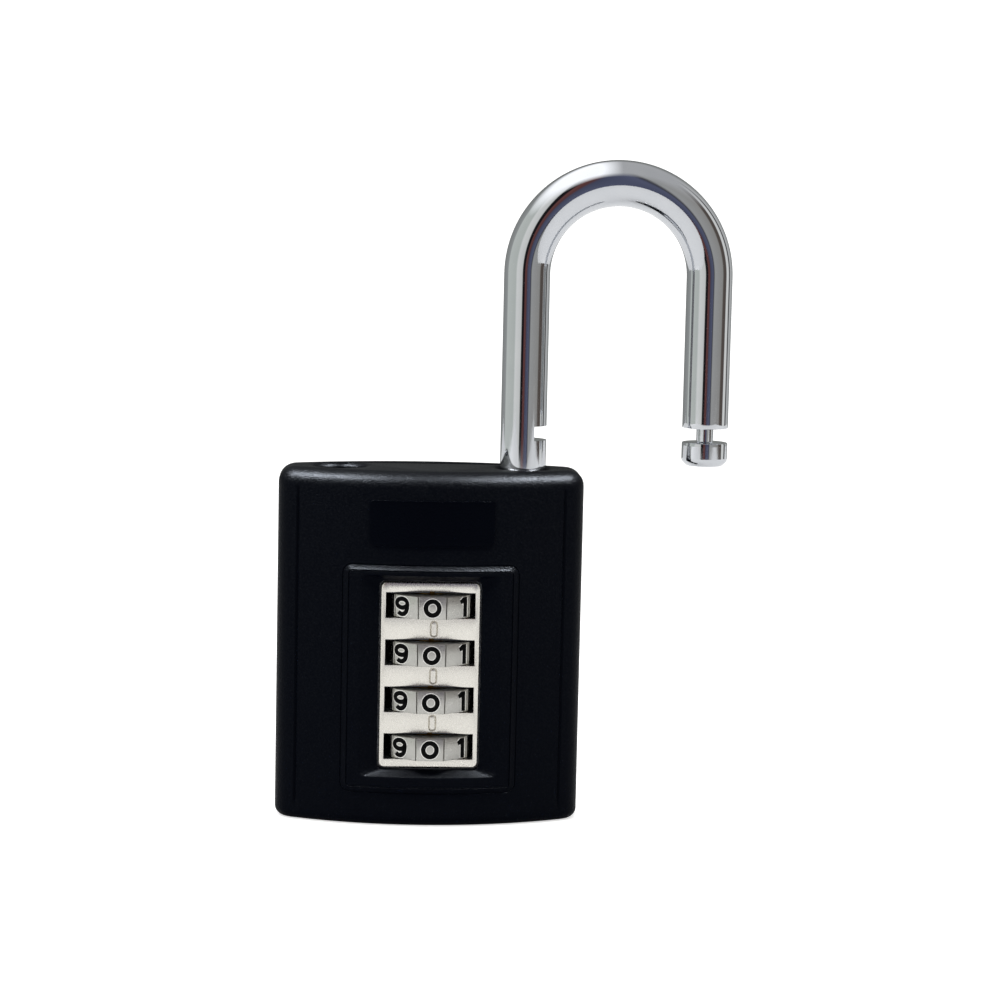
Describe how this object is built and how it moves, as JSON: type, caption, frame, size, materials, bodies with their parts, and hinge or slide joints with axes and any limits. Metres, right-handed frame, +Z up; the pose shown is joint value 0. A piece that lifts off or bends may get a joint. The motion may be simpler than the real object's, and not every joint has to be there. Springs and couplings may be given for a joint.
{
  "type": "combination padlock",
  "caption": "Combination padlock with number dials behind a metal window plate, a bowed black moulded body and a round chrome shackle, shown open with the shackle lifted and turned out.",
  "frame": {"origin": "centre of the flat base of the body", "axes": "+Z up along the shackle legs, -Y out of the dial side, +X towards the shackle's heel leg"},
  "size_m": [0.0738, 0.022, 0.1087],
  "materials": {
    "cover_plastic": "satin black moulded plastic with a fine grain",
    "plate_metal": "satin nickel plate",
    "dial_metal": "satin plated dial, fine texture",
    "shackle_chrome": "polished chrome over steel",
    "case_metal": "die-cast light alloy, as cast",
    "tumbler_brass": "turned brass",
    "inner_steel": "plain hardened steel"
  },
  "bodies": {
    "case": {"front_cover": "cover_plastic", "rear_cover": "cover_plastic", "lock_case": "case_metal", "case_back": "inner_steel", "case_screw_1": "inner_steel", "case_screw_2": "inner_steel", "case_screw_3": "inner_steel", "case_screw_4": "inner_steel", "dial_plate": "plate_metal", "detent_spring": "inner_steel", "shackle_spring": "inner_steel", "spindle_spring": "inner_steel", "sleeve_return_spring": "inner_steel", "retaining_pin": "inner_steel"},
    "dial_1": {"dial_wheel_1": "dial_metal"},
    "sleeve_1": {"tumbler_sleeve_1": "tumbler_brass"},
    "dial_2": {"dial_wheel_2": "dial_metal"},
    "sleeve_2": {"tumbler_sleeve_2": "tumbler_brass"},
    "dial_3": {"dial_wheel_3": "dial_metal"},
    "sleeve_3": {"tumbler_sleeve_3": "tumbler_brass"},
    "dial_4": {"dial_wheel_4": "dial_metal"},
    "sleeve_4": {"tumbler_sleeve_4": "tumbler_brass"},
    "spindle": {"spindle": "inner_steel"},
    "toe_latch": {"toe_bolt": "inner_steel"},
    "heel_latch": {"heel_bolt": "inner_steel"},
    "change_button": {"change_plunger": "tumbler_brass"},
    "shackle_foot": {"spring_cap": "inner_steel"},
    "shackle": {"shackle": "shackle_chrome"}
  },
  "joints": [
    {"name": "dial_1_turn", "type": "hinge", "parent": "case", "child": "dial_1", "pos_m": [0.00025, -0.0041, 0.01287], "axis": [0, 0, 1], "continuous": true},
    {"name": "dial_2_turn", "type": "hinge", "parent": "case", "child": "dial_2", "pos_m": [0.00025, -0.0041, 0.02062], "axis": [0, 0, 1], "continuous": true},
    {"name": "dial_3_turn", "type": "hinge", "parent": "case", "child": "dial_3", "pos_m": [0.00025, -0.0041, 0.02837], "axis": [0, 0, 1], "continuous": true},
    {"name": "dial_4_turn", "type": "hinge", "parent": "case", "child": "dial_4", "pos_m": [0.00025, -0.0041, 0.03612], "axis": [0, 0, 1], "continuous": true},
    {"name": "shackle_lift", "type": "slide", "parent": "case", "child": "shackle_foot", "axis": [0, 0, 1], "range_m": [-0.014, 0], "stiffness_N_per_m": 200, "springref_m": 0.02, "deforming": ["shackle_spring"]},
    {"name": "shackle_swivel", "type": "hinge", "parent": "shackle_foot", "child": "shackle", "pos_m": [0.015, 0, 0.0415], "axis": [0, 0, 1], "range_deg": [-180, 0]},
    {"name": "spindle_slide", "type": "slide", "parent": "case", "child": "spindle", "axis": [0, 0, -1], "range_m": [-0.0024, 0], "deforming": ["spindle_spring"]},
    {"name": "toe_latch_slide", "type": "slide", "parent": "case", "child": "toe_latch", "axis": [1, 0, 0], "range_m": [-0.0016, 0]},
    {"name": "heel_latch_slide", "type": "slide", "parent": "case", "child": "heel_latch", "axis": [-1, 0, 0], "range_m": [-0.0016, 0]},
    {"name": "change_push", "type": "slide", "parent": "case", "child": "change_button", "axis": [0, 0, 1], "range_m": [0, 0.0015], "stiffness_N_per_m": 400, "springref_m": -0.001, "deforming": ["sleeve_return_spring"]},
    {"name": "sleeve_1_shift", "type": "slide", "parent": "dial_1", "child": "sleeve_1", "axis": [0, 0, 1], "range_m": [0, 0.0015]},
    {"name": "sleeve_2_shift", "type": "slide", "parent": "dial_2", "child": "sleeve_2", "axis": [0, 0, 1], "range_m": [0, 0.0015]},
    {"name": "sleeve_3_shift", "type": "slide", "parent": "dial_3", "child": "sleeve_3", "axis": [0, 0, 1], "range_m": [0, 0.0015]},
    {"name": "sleeve_4_shift", "type": "slide", "parent": "dial_4", "child": "sleeve_4", "axis": [0, 0, 1], "range_m": [0, 0.0015]}
  ],
  "couplings": [
    {"joint": "toe_latch_slide", "follows": "spindle_slide", "ratio": 0.66666},
    {"joint": "heel_latch_slide", "follows": "spindle_slide", "ratio": 0.66666},
    {"joint": "sleeve_1_shift", "follows": "change_push", "ratio": 1},
    {"joint": "sleeve_2_shift", "follows": "change_push", "ratio": 1},
    {"joint": "sleeve_3_shift", "follows": "change_push", "ratio": 1},
    {"joint": "sleeve_4_shift", "follows": "change_push", "ratio": 1}
  ]
}
